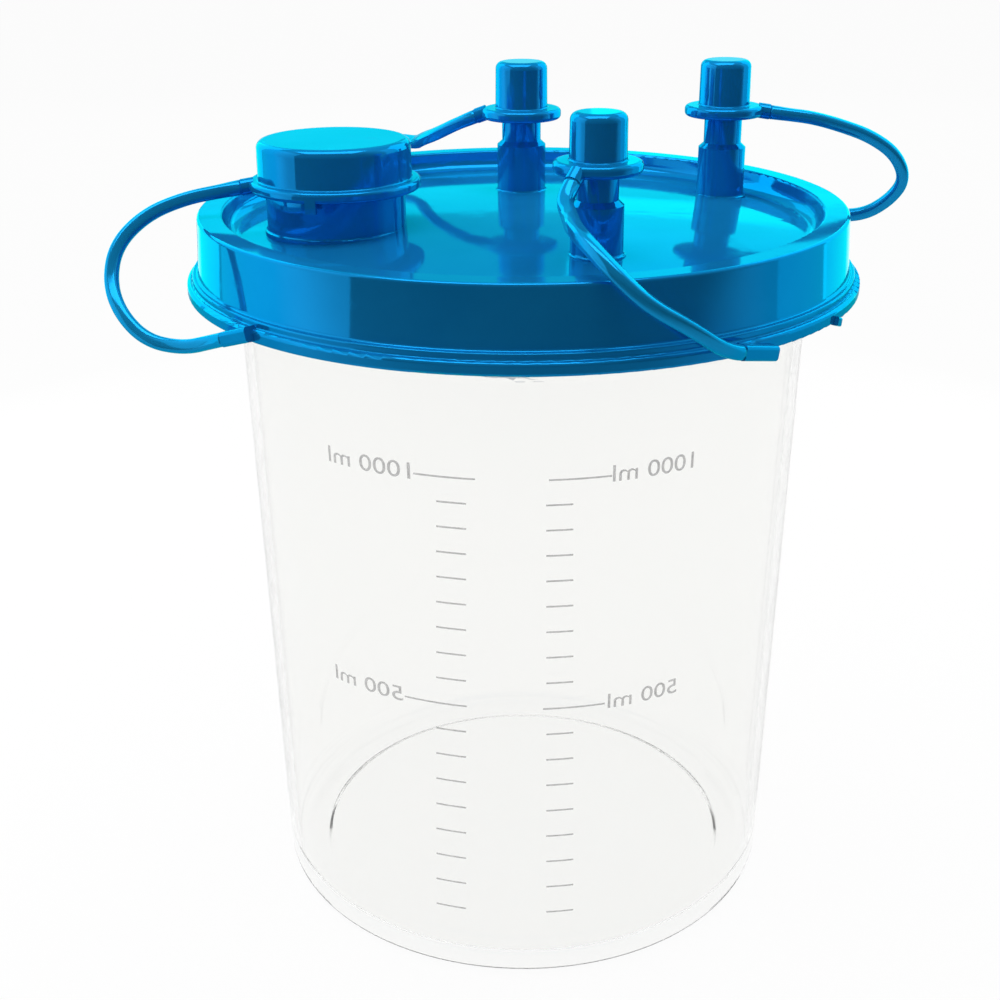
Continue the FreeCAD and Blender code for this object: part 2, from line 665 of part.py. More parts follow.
def tether(name, exit_place, exit_way, route, anchor):
    """A round strap along straight runs joined by tangent arcs, from a cap's lug to the lip."""
    entry, along = lip_entry(anchor)
    first = exit_place + exit_way * TETHER_LEAD
    last = entry - along * TETHER_LEAD
    top = V(0, 0, LID_TOP_Z)
    points = [exit_place, first, *[top + point * LIP_R for point in route], last, entry]
    runs = [(b - a).Length for a, b in zip(points, points[1:])]
    edges = []
    here = points[0]
    radii = []
    for i in range(1, len(points) - 1):
        corner = points[i]
        to_back = (points[i - 1] - corner).normalize()
        to_ahead = (points[i + 1] - corner).normalize()
        half_turn = (math.pi - to_back.getAngle(to_ahead)) / 2
        radius = RUN_SHARE * min(runs[i - 1], runs[i]) / math.tan(half_turn)
        radii.append(radius)
        cut = radius * math.tan(half_turn)
        bisector = (to_back + to_ahead).normalize()
        middle = corner + bisector * (radius / math.cos(half_turn) - radius)
        start = corner + to_back * cut
        end = corner + to_ahead * cut
        edges.append(Part.LineSegment(here, start).toShape())
        edges.append(Part.Arc(start, middle, end).toShape())
        here = end
    edges.append(Part.LineSegment(here, points[-1]).toShape())
    path = Part.Wire(edges)
    ring = Part.Wire(Part.makeCircle(TETHER_D / 2, exit_place, exit_way))
    tube = path.makePipeShell([ring], True, False)
    expected = math.pi * TETHER_D ** 2 / 4 * path.Length
    print(f"{name}: length {path.Length:.1f}, volume share {tube.Volume / expected:.4f}, "
          f"least radius {min(radii):.1f}")
    return tube


def make_tethers():
    """The four tethers, each from its cap's ring to its block on the lip."""
    anchors = {anchor.name: anchor for anchor in ANCHORS}
    routes = {"vacuum": VACUUM_ROUTE, "patient": PATIENT_ROUTE, "tandem": TANDEM_ROUTE}
    straps = {}
    for port in SMALL_PORTS:
        ring_r = small_cap_r(port) + SMALL_RING_OUT
        z = deck_top(port.x, port.y) + port.seat_h + SMALL_RING_T / 2
        place, way = cap_exit(port.x, port.y, ring_r, z, port.tether_angle, port.tether_droop)
        straps[port.name + "_cap_tether"] = tether(
            port.name, place, way, routes[port.name], anchors[port.name])
    z = deck_top(SPOUT_X, SPOUT_Y) + SPOUT_SEAT_H + SPOUT_RING_T / 2
    place, way = cap_exit(SPOUT_X, SPOUT_Y, SPOUT_RING_R, z, SPOUT_TETHER_ANGLE, SPOUT_TETHER_DROOP)
    straps["pour_cap_tether"] = tether("pour", place, way, POUR_ROUTE, anchors["pour"])
    return straps


def build():
    """Every node of the canister by name."""
    nodes = {
        "jar": make_jar(),
        "lid": make_lid(),
        "lid_seal": make_seal(),
        "pour_spout_cap": make_spout_cap(),
        "valve_seat": make_valve_seat(),
        "float_cage": make_float_cage(),
        "shutoff_float": make_float(),
    }
    for port in SMALL_PORTS:
        nodes[port.name + "_port_cap"] = make_small_cap(port)
    nodes.update(make_tethers())
    return nodes


os.makedirs("parts", exist_ok=True)
for node, shape in build().items():
    shape.exportStep(f"parts/{node}.step")
    box = shape.BoundBox
    print(f"{node}: solids {len(shape.Solids)}, valid {shape.isValid()}, volume {shape.Volume:.0f}, "
          f"z {box.ZMin:.2f} to {box.ZMax:.2f}, r {max(abs(box.XMin), box.XMax, abs(box.YMin), box.YMax):.2f}")
print(f"lid top {LID_TOP_Z:.2f}, lid radius {LID_R:.2f}, lip radius {LIP_R:.2f}, lip bottom {LIP_BOTTOM_Z:.2f}")
print(f"float travel {float_travel():.2f}")
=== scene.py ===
"""Looks of the suction canister: finishes, tethers, printed scale, light and camera.

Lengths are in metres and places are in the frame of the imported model: +Z is up, the origin is the
middle of the jar's base and the user stands at -Y. Angles round the jar are in degrees from the
front, positive towards +X.
"""

import logging
import math
from collections.abc import Mapping, Sequence
from dataclasses import dataclass
from enum import Enum
from typing import ClassVar

import bmesh
import bpy
from mathutils import Matrix, Quaternion, Vector


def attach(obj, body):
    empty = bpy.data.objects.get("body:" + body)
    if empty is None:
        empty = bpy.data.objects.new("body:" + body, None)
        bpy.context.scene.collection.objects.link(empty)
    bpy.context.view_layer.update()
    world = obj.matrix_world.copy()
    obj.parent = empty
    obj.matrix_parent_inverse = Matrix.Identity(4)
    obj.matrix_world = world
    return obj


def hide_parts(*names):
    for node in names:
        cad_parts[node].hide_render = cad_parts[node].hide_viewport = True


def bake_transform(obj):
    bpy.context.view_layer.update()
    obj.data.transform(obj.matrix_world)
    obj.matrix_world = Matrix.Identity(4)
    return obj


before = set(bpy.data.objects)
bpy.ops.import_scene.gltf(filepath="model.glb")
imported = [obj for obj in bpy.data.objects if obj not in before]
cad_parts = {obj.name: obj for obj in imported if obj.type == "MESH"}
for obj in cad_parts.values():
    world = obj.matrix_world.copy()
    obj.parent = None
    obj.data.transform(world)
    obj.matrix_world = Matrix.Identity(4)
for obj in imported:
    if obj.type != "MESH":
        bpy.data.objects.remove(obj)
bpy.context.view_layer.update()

LOG = logging.getLogger("suction_canister")
MM = 0.001

Colour = tuple[float, float, float]
Point = tuple[float, float, float]
Range = tuple[float, float]


class Value:
    """A shader socket that Python arithmetic works on, one Math node for each step."""

    def __init__(self, graph: "Graph", socket: bpy.types.NodeSocket) -> None:
        """Keep the graph and the socket that the value comes from."""
        self.graph = graph
        self.socket = socket

    def maths(self, operation: str, other: "Value | float", swapped: bool = False) -> "Value":
        """Add one Math node.

        Args:
            operation: Blender's name of the operation.
            other: The second number.
            swapped: Whether the other number comes first.

        Returns:
            The node's result.
        """
        feeds = (other, self) if swapped else (self, other)
        node = self.graph.add("ShaderNodeMath", {"operation": operation}, dict(enumerate(feeds)))
        return Value(self.graph, node.outputs[0])

    def __add__(self, other: "Value | float") -> "Value":
        """This value plus another."""
        return self.maths("ADD", other)

    def __radd__(self, other: float) -> "Value":
        """A number plus this value."""
        return self.maths("ADD", other, swapped=True)

    def __sub__(self, other: "Value | float") -> "Value":
        """This value less another."""
        return self.maths("SUBTRACT", other)

    def __rsub__(self, other: float) -> "Value":
        """A number less this value."""
        return self.maths("SUBTRACT", other, swapped=True)

    def __mul__(self, other: "Value | float") -> "Value":
        """This value times another."""
        return self.maths("MULTIPLY", other)

    def __rmul__(self, other: float) -> "Value":
        """A number times this value."""
        return self.maths("MULTIPLY", other, swapped=True)


class Ray(Enum):
    """The kinds of ray that see the white background, by their Light Path outputs."""

    CAMERA = "Is Camera Ray"
    GLOSSY = "Is Glossy Ray"
    TRANSMISSION = "Is Transmission Ray"


class Output(Enum):
    """Where a node tree ends, by the type of its last node."""

    MATERIAL = "ShaderNodeOutputMaterial"
    WORLD = "ShaderNodeOutputWorld"


@dataclass(frozen=True)
class Pattern:
    """Smooth noise in a surface, which lies round 0.5.

    Its features have a size, a number of finer layers and a twist by the noise itself, and stretch
    multiplies the coordinates along each axis. As a mask it is 0 at low and 1 at high.
    """

    size: float
    layers: float = 2.0
    twist: float = 0.0
    stretch: Point = (1.0, 1.0, 1.0)
    low: float = 0.3
    high: float = 0.7

    MIDDLE: ClassVar[float] = 0.5

    def noise(self, graph: "Graph") -> Value:
        """Add the noise.

        Args:
            graph: The material's graph.

        Returns:
            The noise's value.
        """
        place = graph.add(
            "ShaderNodeVectorMath", {"operation": "MULTIPLY"},
            {0: graph.coordinates("Object"), 1: self.stretch},
        )
        node = graph.add("ShaderNodeTexNoise", None, {
            "Vector": place.outputs[0],
            "Scale": 1 / self.size,
            "Detail": self.layers,
            "Distortion": self.twist,
        })
        return Value(graph, node.outputs[0])

    def mask(self, graph: "Graph") -> Value:
        """Add the noise as a mask from 0 to 1."""
        return graph.between(self.noise(graph), self.low, self.high)

    def swing(self, graph: "Graph", centre: float, width: float) -> Value:
        """Add a value that the noise moves up and down round a centre."""
        return centre + (self.noise(graph) - self.MIDDLE) * width


class Graph:
    """The node tree of a material or of the world."""

    MIX_COLOUR_INPUTS = (6, 7)
    MIX_COLOUR_OUTPUT = 2

    def __init__(self, tree: bpy.types.NodeTree, output: Output) -> None:
        """Empty the tree and keep it with the kind of its last node."""
        tree.nodes.clear()
        self.tree = tree
        self.output = output

    @classmethod
    def of_material(cls, name: str) -> tuple["Graph", bpy.types.Material]:
        """Make a material with an empty tree.

        Args:
            name: The material's name.

        Returns:
            Its graph and the material.
        """
        material = bpy.data.materials.new(name)
        material.use_nodes = True
        return cls(material.node_tree, Output.MATERIAL), material

    def add(
        self,
        kind: str,
        settings: Mapping[str, object] | None = None,
        sockets: Mapping[str | int, object] | None = None,
    ) -> bpy.types.Node:
        """Add a node: its settings first, and then the values or links of its sockets.

        Args:
            kind: The node's type.
            settings: The node's own settings.
            sockets: Numbers, colours, Values or sockets, by input name or index.

        Returns:
            The node.
        """
        node = self.tree.nodes.new(kind)
        for name, setting in (settings or {}).items():
            setattr(node, name, setting)
        for key, feed in (sockets or {}).items():
            target = node.inputs[key]
            if isinstance(feed, Value):
                self.tree.links.new(feed.socket, target)
            elif isinstance(feed, bpy.types.NodeSocket):
                self.tree.links.new(feed, target)
            elif target.type == "RGBA":
                target.default_value = (*feed, 1.0)
            else:
                target.default_value = feed
        return node

    def coordinates(self, kind: str) -> bpy.types.NodeSocket:
        """A kind of texture coordinates, in metres for those of an object."""
        return self.add("ShaderNodeTexCoord").outputs[kind]

    def depth_of(self, kind: str) -> Value:
        """How far back a place or direction lies: its Y in a kind of texture coordinates."""
        parts = self.add("ShaderNodeSeparateXYZ", None, {0: self.coordinates(kind)})
        return Value(self, parts.outputs[1])

    def between(self, value: Value, low: float, high: float) -> Value:
        """Stretch a value smoothly, and cut it off outside.

        Args:
            value: What is stretched.
            low: Where it becomes 0.
            high: Where it becomes 1.

        Returns:
            The stretched value.
        """
        node = self.add(
            "ShaderNodeMapRange", {"clamp": True, "interpolation_type": "SMOOTHSTEP"},
            {"Value": value, "From Min": low, "From Max": high},
        )
        return Value(self, node.outputs[0])

    def blend(self, share: Value, first: Colour, second: Colour) -> bpy.types.NodeSocket:
        """Mix two colours.

        Args:
            share: How much of the second shows.
            first: Colour at a share of 0.
            second: Colour at a share of 1.

        Returns:
            The mixed colour.
        """
        low, high = self.MIX_COLOUR_INPUTS
        node = self.add(
            "ShaderNodeMix", {"data_type": "RGBA"}, {"Factor": share, low: first, high: second}
        )
        return node.outputs[self.MIX_COLOUR_OUTPUT]

    def choose(self, share: Value | float, first: bpy.types.Node, second: bpy.types.Node) -> bpy.types.Node:
        """Mix two shaders, of which the second shows by its share."""
        return self.add("ShaderNodeMixShader", None, {0: share, 1: first.outputs[0], 2: second.outputs[0]})

    def relief(self, height: Value) -> bpy.types.NodeSocket:
        """The surface normal over a relief whose height is in metres."""
        node = self.add("ShaderNodeBump", None, {"Strength": 1.0, "Distance": 1.0, "Height": height})
        return node.outputs[0]

    def background_share(self, mirrored: Value) -> Value:
        """How much of the white background each kind of ray sees.

        Args:
            mirrored: The share that rays mirrored by the outside see, which is less in front.

        Returns:
            1 for rays from the camera and through the jar, and 0 for light that falls on the object.
        """
        path = self.add("ShaderNodeLightPath")
        camera, glossy, transmission = (Value(self, path.outputs[ray.value]) for ray in Ray)
        inside = Value(self, path.outputs["Transmission Depth"]).maths("MINIMUM", 1.0)
        return camera + transmission + glossy * mirrored.maths("MAXIMUM", inside)

    def finish(self, shader: bpy.types.Node, volume: bpy.types.Node | None = None) -> None:
        """Connect the last shaders to the output.

        Args:
            shader: What the surface looks like.
            volume: What the inside looks like, where light goes through.
        """
        sockets = {"Surface": shader.outputs[0]}
        if volume is not None:
            sockets["Volume"] = volume.outputs[0]
        self.add(self.output.value, None, sockets)


@dataclass(frozen=True)
class GlossMoulding:
    """Gloss plastic from a polished mould: faint clouds, fine grain, ripples and rubbed spots.

    A small metallic share gives its reflections the blue that they have in the photograph.
    """

    name: str
    colour: Colour
    deep_colour: Colour
    edge_tint: Colour = (0.0, 1.0, 0.80)
    metallic: float = 0.45
    shine: float = 0.0
    bending: float = 1.5
    roughness: float = 0.06
    rubbed_roughness: float = 0.12
    clouds: Pattern = Pattern(0.022, 3.0)
    rubs: Pattern = Pattern(0.006, 4.0, 0.6, (1.0, 1.0, 3.0), 0.56, 0.72)
    ripples: Pattern = Pattern(0.011, 1.0, 0.4)
    ripple_depth: float = 0.00003
    grain: Pattern = Pattern(0.0006)
    grain_depth: float = 0.0000006

    def make(self) -> bpy.types.Material:
        """Build the material.

        Returns:
            The material.
        """
        graph, material = Graph.of_material(self.name)
        height = self.ripples.noise(graph) * self.ripple_depth + self.grain.noise(graph) * self.grain_depth
        plastic = graph.add("ShaderNodeBsdfPrincipled", None, {
            "Base Color": graph.blend(self.clouds.mask(graph), self.colour, self.deep_colour),
            "Roughness": self.roughness + self.rubs.mask(graph) * (self.rubbed_roughness - self.roughness),
            "IOR": self.bending,
            "Metallic": self.metallic,
            "Specular IOR Level": self.shine,
            "Specular Tint": self.edge_tint,
            "Normal": graph.relief(height),
        })
        graph.finish(plastic)
        return material


@dataclass(frozen=True)
class ClearMoulding:
    """Clear plastic with a trace of milk: a wavy wall that darkens where light runs along it.

    It bends light less than the real plastic, because the photograph shows it almost without edges.
    """

    name: str
    tint: Colour
    depth_tint: Colour
    depth_density: float = 8.0
    clearness: float = 0.99
    bending: float = 1.12
    coat: float = 0.5
    coat_loss: float = 0.1
    roughness: float = 0.03
    haze_roughness: float = 0.07
    haze: Pattern = Pattern(0.012, 3.0, low=0.35, high=0.75)
    waves: Pattern = Pattern(0.018, 1.0, 0.3, (1.0, 1.0, 0.35))
    wave_depth: float = 0.00003

    def make(self) -> bpy.types.Material:
        """Build the material.

        Returns:
            The material.
        """
        graph, material = Graph.of_material(self.name)
        haze = self.haze.mask(graph)
        wall = graph.add("ShaderNodeBsdfPrincipled", None, {
            "Base Color": self.tint,
            "Roughness": self.roughness + haze * (self.haze_roughness - self.roughness),
            "IOR": self.bending,
            "Transmission Weight": self.clearness,
            "Coat Weight": self.coat - haze * self.coat_loss,
            "Coat Roughness": self.roughness,
            "Normal": graph.relief(self.waves.noise(graph) * self.wave_depth),
        })
        depth = graph.add(
            "ShaderNodeVolumeAbsorption", None,
            {"Color": self.depth_tint, "Density": self.depth_density},
        )
        graph.finish(wall, depth)
        return material


@dataclass(frozen=True)
class SatinMoulding:
    """Unpolished plastic or rubber: a fine even texture with slight shading differences."""

    name: str
    colour: Colour
    deep_colour: Colour
    roughness: float
    roughness_swing: float = 0.2
    clouds: Pattern = Pattern(0.008, 3.0)
    texture: Pattern = Pattern(0.0004)
    texture_depth: float = 0.00001

    def make(self) -> bpy.types.Material:
        """Build the material.

        Returns:
            The material.
        """
        graph, material = Graph.of_material(self.name)
        body = graph.add("ShaderNodeBsdfPrincipled", None, {
            "Base Color": graph.blend(self.clouds.mask(graph), self.colour, self.deep_colour),
            "Roughness": self.clouds.swing(graph, self.roughness, self.roughness_swing),
            "Normal": graph.relief(self.texture.noise(graph) * self.texture_depth),
        })
        graph.finish(body)
        return material


@dataclass(frozen=True)
class ScreenInk:
    """Grey screen-printing ink with the slightly uneven cover of a printed line."""

    name: str
    colour: Colour
    thin_colour: Colour
    cover: float = 0.34
    cover_swing: float = 0.2
    roughness: float = 0.5
    roughness_swing: float = 0.2
    unevenness: Pattern = Pattern(0.0009, 3.0, low=0.35, high=0.7)
    ink_depth: float = 0.01 * MM

    def make(self) -> bpy.types.Material:
        """Build the material.

        Returns:
            The material.
        """
        graph, material = Graph.of_material(self.name)
        ink = graph.add("ShaderNodeBsdfPrincipled", None, {
            "Base Color": graph.blend(self.unevenness.mask(graph), self.colour, self.thin_colour),
            "Roughness": self.unevenness.swing(graph, self.roughness, self.roughness_swing),
            "Alpha": self.unevenness.swing(graph, self.cover, self.cover_swing),
            "Normal": graph.relief(self.unevenness.noise(graph) * self.ink_depth),
        })
        graph.finish(ink)
        return material


def dress(node: str, material: bpy.types.Material) -> None:
    """Give a CAD node's object one material.

    Args:
        node: The node's name.
        material: What it gets in all of its slots.
    """
    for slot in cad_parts[node].material_slots:
        slot.material = material
    LOG.info("%s: %s", node, material.name)


def stand(name: str, data: bpy.types.ID) -> bpy.types.Object:
    """Put a new object into the scene.

    Args:
        name: The object's name.
        data: Its mesh, curve, lamp or camera.

    Returns:
        The object.
    """
    thing = bpy.data.objects.new(name, data)
    bpy.context.scene.collection.objects.link(thing)
    return thing


def mesh_of(curve: bpy.types.Curve) -> bpy.types.Mesh:
    """Turn a curve or lettering into a mesh.

    Args:
        curve: The curve, which is used up.

    Returns:
        The mesh.
    """
    carrier = stand(curve.name, curve)
    bpy.context.view_layer.update()
    mesh = bpy.data.meshes.new_from_object(carrier)
    bpy.data.objects.remove(carrier)
    bpy.data.curves.remove(curve)
    return mesh


def skin(mesh: bmesh.types.BMesh, rings: Sequence[Sequence[bmesh.types.BMVert]]) -> None:
    """Join a row of rings by faces and close its two ends.

    Args:
        mesh: What the faces are added to.
        rings: Closed rings, all with the same number of corners.
    """
    for ring, following in zip(rings, rings[1:]):
        for i in range(len(ring)):
            j = (i + 1) % len(ring)
            mesh.faces.new((ring[i], ring[j], following[j], following[i]))
    mesh.faces.new(rings[0][::-1])
    mesh.faces.new(rings[-1])


def settle(name: str, mesh: bmesh.types.BMesh, material: bpy.types.Material) -> bpy.types.Object:
    """Turn a finished bmesh into an object of one material.

    Args:
        name: The object's name.
        mesh: The bmesh, which is used up.
        material: The object's material.

    Returns:
        The object.
    """
    bmesh.ops.recalc_face_normals(mesh, faces=mesh.faces)
    data = bpy.data.meshes.new(name)
    mesh.to_mesh(data)
    mesh.free()
    data.materials.append(material)
    return stand(name, data)


@dataclass(frozen=True)
class JarWall:
    """The outside of the jar's tapered wall, which carries the printed scale."""

    base_radius: float = 53.0 * MM
    shoulder_radius: float = 55.7 * MM
    shoulder_height: float = 126.5 * MM

    def radius(self, height: float) -> float:
        """Outer radius at a height."""
        return self.base_radius + (self.shoulder_radius - self.base_radius) * height / self.shoulder_height

    def place(self, angle: float, height: float, proud: float) -> Vector:
        """A place on the wall.

        Args:
            angle: Degrees from the front, positive towards +X.
            height: Height above the base.
            proud: How far it stands out of the wall.

        Returns:
            The place.
        """
        radius = self.radius(height) + proud
        turn = math.radians(angle)
        return Vector((radius * math.sin(turn), -radius * math.cos(turn), height))


@dataclass(frozen=True)
class MarkRow:
    """A long mark with its label, each from one angle to another."""

    text: str
    line: Range
    label: Range


class Side(Enum):
    """The two columns of marks, seen from the front."""

    LEFT = "left"
    RIGHT = "right"


@dataclass(frozen=True)
class VolumeScale:
    """The printed scale on the front of the jar: two columns of marks, which read mirrored.

    The step between rows grows by step_growth for each row down, and the short marks widen by
    spread for each metre down, so that they keep their length where the jar narrows.
    """

    wall: JarWall = JarWall()
    top_height: float = 108.08 * MM
    step: float = 4.66 * MM
    step_growth: float = 0.0446 * MM
    last_row: int = 17
    half_row: int = 9
    spread: float = 2.12
    line_thickness: float = 0.32 * MM
    ink_proud: float = 0.03 * MM
    ink_sunk: float = 0.02 * MM
    digit_height: float = 3.1 * MM
    label_rise: float = 0.4 * MM
    lettering_extrusion: float = 0.5
    lettering_steps: int = 6
    arc_step: float = 1.0

    SHORT: ClassVar[dict[Side, Range]] = {Side.LEFT: (-15.5, -10.0), Side.RIGHT: (4.2, 9.0)}
    FULL: ClassVar[dict[Side, MarkRow]] = {
        Side.LEFT: MarkRow("1000 ml", (-19.9, -8.4), (-38.5, -20.5)),
        Side.RIGHT: MarkRow("1000 ml", (4.7, 16.1), (16.3, 32.8)),
    }
    HALF: ClassVar[dict[Side, MarkRow]] = {
        Side.LEFT: MarkRow("500 ml", (-23.7, -10.8), (-41.0, -24.1)),
        Side.RIGHT: MarkRow("500 ml", (4.0, 16.2), (16.8, 32.1)),
    }

    def height(self, row: int) -> float:
        """Height of a row of marks, counted down from the top one."""
        return self.top_height - self.step * row - self.step_growth * row * row

    def bar(self, mesh: bmesh.types.BMesh, start: float, end: float, height: float) -> None:
        """Add a thin raised line round the wall.

        Args:
            mesh: What the line is added to.
            start: Angle of its left end.
            end: Angle of its right end.
            height: Height of its middle.
        """
        count = max(2, math.ceil((end - start) / self.arc_step))
        half = self.line_thickness / 2
        corners = (
            (-half, -self.ink_sunk), (-half, self.ink_proud), (half, self.ink_proud), (half, -self.ink_sunk)
        )
        rings = []
        for i in range(count + 1):
            angle = start + (end - start) * i / count
            rings.append([mesh.verts.new(self.wall.place(angle, height + up, out)) for up, out in corners])
        skin(mesh, rings)

    def label(self, mesh: bmesh.types.BMesh, text: str, start: float, end: float, height: float) -> None:
        """Add mirrored lettering, bent round the wall.

        Args:
            mesh: What the lettering is added to.
            text: What it says.
            start: Angle of its left end.
            end: Angle of its right end.
            height: Height of the digits' middle.
        """
        curve = bpy.data.curves.new("label", "FONT")
        curve.body = text
        curve.extrude = self.lettering_extrusion
        curve.resolution_u = self.lettering_steps
        flat = mesh_of(curve)
        across = [vertex.co.x for vertex in flat.vertices]
        upright = [vertex.co.y for vertex in flat.vertices]
        left, right = min(across), max(across)
        low, high = min(upright), max(upright)
        middle = (low + high) / 2
        for vertex in flat.vertices:
            share = (vertex.co.x - left) / (right - left)
            rise = (vertex.co.y - middle) / (high - low) * self.digit_height
            proud = self.ink_proud if vertex.co.z > 0 else -self.ink_sunk
            vertex.co = self.wall.place(end + (start - end) * share, height + rise, proud)
        mesh.from_mesh(flat)
        bpy.data.meshes.remove(flat)

    def build(self, ink: bpy.types.Material) -> bpy.types.Object:
        """Print the scale.

        Args:
            ink: The ink's material.

        Returns:
            The piece, on the jar.
        """
        mesh = bmesh.new()
        for side in Side:
            for rows, row in ((self.FULL, 0), (self.HALF, self.half_row)):
                mark = rows[side]
                self.bar(mesh, *mark.line, self.height(row))
                self.label(mesh, mark.text, *mark.label, self.height(row) + self.label_rise)
            for row in range(1, self.last_row + 1):
                if row == self.half_row:
                    continue
                height = self.height(row)
                widening = 1 + self.spread * (self.top_height - height)
                start, end = (angle * widening for angle in self.SHORT[side])
                self.bar(mesh, start, end, height)
        piece = settle("volume_scale", mesh, ink)
        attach(piece, "jar")
        LOG.info("volume_scale: %d faces", len(piece.data.polygons))
        return piece


@dataclass(frozen=True)
class Tether:
    """A moulded strap from a cap's ring to a block on the lid's lip.
    """

    node: str
    cap_body: str
    length: float
    route: tuple[Point, ...]
    still_height: float
    moving_height: float
    width: float = 2.7 * MM
    depth: float = 2.55 * MM
    root_width: float = 3.0 * MM
    root_length: float = 5.0 * MM
    squareness: float = 3.2
    root_squareness: float = 2.0
    section_points: int = 28
    spans_per_point: int = 12
    curve_order: int = 3

    UPWARDS: ClassVar[Vector] = Vector((0.0, 0.0, 1.0))

    def centreline(self) -> list[Vector]:
        """Points along the smooth line of the route.

        Returns:
            The points, from the cap to the lip.
        """
        curve = bpy.data.curves.new(self.node + "_route", "CURVE")
        curve.dimensions = "3D"
        curve.resolution_u = self.spans_per_point
        spline = curve.splines.new("NURBS")
        spline.points.add(len(self.route) - 1)
        for point, place in zip(spline.points, self.route):
            point.co = (*place, 1.0)
        spline.order_u = self.curve_order
        spline.use_endpoint_u = True
        line = mesh_of(curve)
        places = [vertex.co.copy() for vertex in line.vertices]
        bpy.data.meshes.remove(line)
        return places

    def section(self, from_cap: float) -> list[tuple[float, float]]:
        """The strap's section, which is round and thicker where it leaves the cap.

        Args:
            from_cap: Distance along the strap from its cap.

        Returns:
            Points round the section, as places across and upright.
        """
        share = max(0.0, 1 - from_cap / self.root_length)
        root = share * share * (3 - 2 * share)
        scale = 1 + (self.root_width / self.width - 1) * root
        power = self.squareness + (self.root_squareness - self.squareness) * root
        corners = []
        for i in range(self.section_points):
            turn = 2 * math.pi * i / self.section_points
            across, upright = math.cos(turn), math.sin(turn)
            reach = scale * (abs(across) ** power + abs(upright) ** power) ** (-1 / power)
            corners.append((across * reach * self.width / 2, upright * reach * self.depth / 2))
        return corners

    def frames(self, places: Sequence[Vector]) -> list[tuple[Vector, Vector]]:
        """Directions across and upright along the line, so turned that the last section lies level.

        Args:
            places: Points along the line.

        Returns:
            The two directions at each point.
        """
        last = len(places) - 1
        ways = [(places[min(i + 1, last)] - places[max(i - 1, 0)]).normalized() for i in range(last + 1)]
        sides = [self.UPWARDS.cross(ways[0]).normalized()]
        for way, following in zip(ways, ways[1:]):
            sides.append(way.rotation_difference(following) @ sides[-1])
        level = self.UPWARDS.cross(ways[-1]).normalized()
        twist = math.atan2(sides[-1].cross(level).dot(ways[-1]), sides[-1].dot(level))
        twist -= math.pi * round(twist / math.pi)
        pairs = []
        for i, (way, side) in enumerate(zip(ways, sides)):
            turned = Quaternion(way, twist * i / last) @ side
            pairs.append((turned, way.cross(turned)))
        return pairs

    def build(self, plastic: bpy.types.Material) -> bpy.types.Object:
        """Mould the strap along its line.

        Args:
            plastic: The strap's material.

        Returns:
            The piece, which runs between the lid and its cap.
        """
        places = self.centreline()
        distances = [0.0]
        for place, following in zip(places, places[1:]):
            distances.append(distances[-1] + (following - place).length)
        mesh = bmesh.new()
        rings = []
        for place, distance, (side, up) in zip(places, distances, self.frames(places)):
            corners = [place + side * across + up * upright for across, upright in self.section(distance)]
            rings.append([mesh.verts.new(corner) for corner in corners])
        skin(mesh, rings)
        piece = settle(self.node + "_strap", mesh, plastic)
        for face in piece.data.polygons:
            face.use_smooth = len(face.vertices) == 4
        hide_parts(self.node)
        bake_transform(piece)
        LOG.info("%s: %.1f mm long", piece.name, distances[-1] / MM)
        return piece


